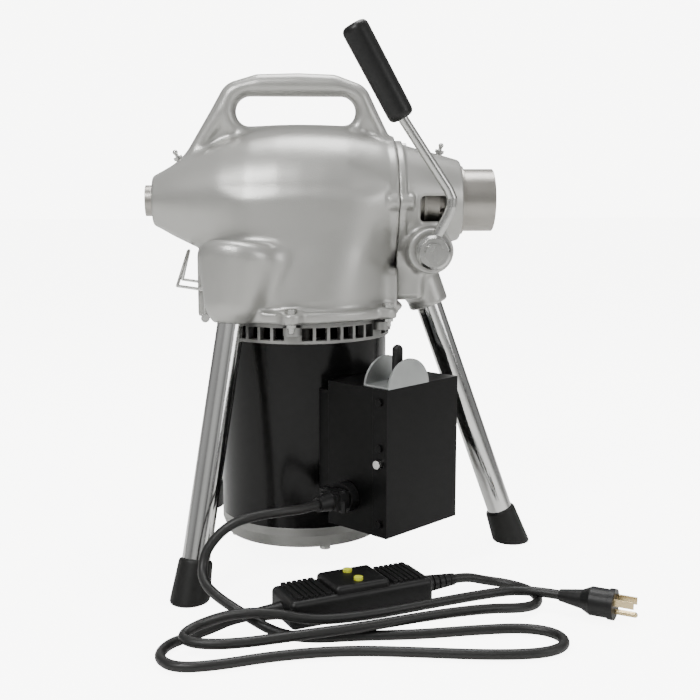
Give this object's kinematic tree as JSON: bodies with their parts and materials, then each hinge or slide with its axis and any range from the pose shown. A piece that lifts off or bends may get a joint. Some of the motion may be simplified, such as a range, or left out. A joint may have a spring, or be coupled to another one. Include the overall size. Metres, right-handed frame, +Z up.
{
  "type": "drain snake machine",
  "caption": "Electric drain cleaning machine on a tripod: carry-handle housing, cable spindle with clutch lever, upright motor, switch box, and cord with interrupter and plug",
  "frame": {"origin": "on the floor, under the middle of the machine's own box, cords left out", "axes": "+X from the rear of the spindle to the nose, +Y away from the switch side, +Z up"},
  "size_m": [0.43, 0.4655, 0.514],
  "materials": {
    "cast": "satin",
    "black": "satin",
    "can_black": "gloss",
    "chrome": "gloss",
    "steel": "satin",
    "alu": "satin",
    "zinc": "satin",
    "rubber": "matte",
    "plastic": "matte",
    "button": "gloss",
    "iron": "matte",
    "brass": "satin",
    "cord": "matte"
  },
  "bodies": {
    "frame": {"leg_front_left": "chrome", "leg_rear_left": "chrome", "leg_right": "chrome", "foot_front_left": "rubber", "foot_rear_left": "rubber", "foot_right": "rubber", "main_housing": "cast", "front_housing": "cast", "nose_spigot": "steel", "spindle_bearing_rear": "steel", "spindle_bearing_front": "steel", "motor_bearing_lower": "steel", "motor_bearing_upper": "steel", "seam_screws": "zinc", "motor_flange_bolts": "zinc", "grease_fitting_rear": "zinc", "grease_fitting_front": "zinc", "end_bell_bolts": "zinc", "wire_bail": "zinc", "bail_screws": "zinc", "toggle_guard": "zinc", "motor_can": "can_black", "motor_vent_ring": "alu", "motor_end_bell": "alu", "capacitor": "alu", "motor_stator": "iron", "box_saddle": "black", "switch_box": "black", "switch_box_cover": "black", "box_screws": "black", "switch_body": "plastic", "cord_clamp": "plastic", "gfci_body": "plastic", "gfci_relief_in": "plastic", "gfci_relief_out": "plastic", "plug_body": "plastic", "plug_blades": "brass", "cord_to_interrupter": "cord", "cord_to_plug": "cord"},
    "spindle": {"spindle": "steel", "spindle_collar": "steel", "bevel_ring_gear": "steel"},
    "motor_rotor": {"motor_shaft": "steel", "motor_rotor": "iron", "motor_fan": "alu", "bevel_pinion": "steel"},
    "sleeve": {"clutch_sleeve": "steel"},
    "jaw_1": {"clutch_jaw_1": "steel"},
    "jaw_2": {"clutch_jaw_2": "steel"},
    "jaw_3": {"clutch_jaw_3": "steel"},
    "lever": {"lever_hub": "zinc", "lever_rod": "zinc", "lever_grip": "rubber", "pivot_shaft": "steel"},
    "toggle": {"toggle_lever": "plastic"},
    "test_button": {"gfci_test_button": "button"},
    "reset_button": {"gfci_reset_button": "button"},
    "box_button": {"box_reset_button": "zinc"}
  },
  "joints": [
    {"name": "motor_spin", "type": "hinge", "parent": "frame", "child": "motor_rotor", "pos_m": [-0.04116, 0, 0.13], "axis": [0, 0, 1], "continuous": true},
    {"name": "spindle_spin", "type": "hinge", "parent": "frame", "child": "spindle", "pos_m": [-0.04116, 0, 0.352], "axis": [1, 0, 0], "continuous": true},
    {"name": "lever_turn", "type": "hinge", "parent": "frame", "child": "lever", "pos_m": [0.07784, -0.06, 0.306], "axis": [0, 1, 0], "range_deg": [0, 50]},
    {"name": "sleeve_slide", "type": "slide", "parent": "frame", "child": "sleeve", "axis": [1, 0, 0], "range_m": [0, 0.0103]},
    {"name": "toggle_tilt", "type": "hinge", "parent": "frame", "child": "toggle", "pos_m": [0.0406, -0.11901, 0.1887], "axis": [0.6749, -0.7379, 0], "range_deg": [-15, 15]},
    {"name": "test_press", "type": "slide", "parent": "frame", "child": "test_button", "axis": [0, 0, -1], "range_m": [0, 0.0015], "stiffness_N_per_m": 300},
    {"name": "reset_press", "type": "slide", "parent": "frame", "child": "reset_button", "axis": [0, 0, -1], "range_m": [0, 0.0015], "stiffness_N_per_m": 300},
    {"name": "box_reset_press", "type": "slide", "parent": "frame", "child": "box_button", "axis": [0.7379, 0.6749, 0], "range_m": [0, 0.0015], "stiffness_N_per_m": 300},
    {"name": "jaw_1_slide", "type": "slide", "parent": "spindle", "child": "jaw_1", "axis": [0, 0, -1], "range_m": [0, 0.0012]},
    {"name": "jaw_2_slide", "type": "slide", "parent": "spindle", "child": "jaw_2", "axis": [0, 0.866, 0.5], "range_m": [0, 0.0012]},
    {"name": "jaw_3_slide", "type": "slide", "parent": "spindle", "child": "jaw_3", "axis": [0, -0.866, 0.5], "range_m": [0, 0.0012]}
  ],
  "couplings": [
    {"joint": "spindle_spin", "follows": "motor_spin", "ratio": 0.34783},
    {"joint": "sleeve_slide", "follows": "lever_turn", "m_per_rad": 0.01162},
    {"joint": "jaw_1_slide", "follows": "lever_turn", "m_per_rad": 0.0012513},
    {"joint": "jaw_2_slide", "follows": "lever_turn", "m_per_rad": 0.0012513},
    {"joint": "jaw_3_slide", "follows": "lever_turn", "m_per_rad": 0.0012513}
  ]
}
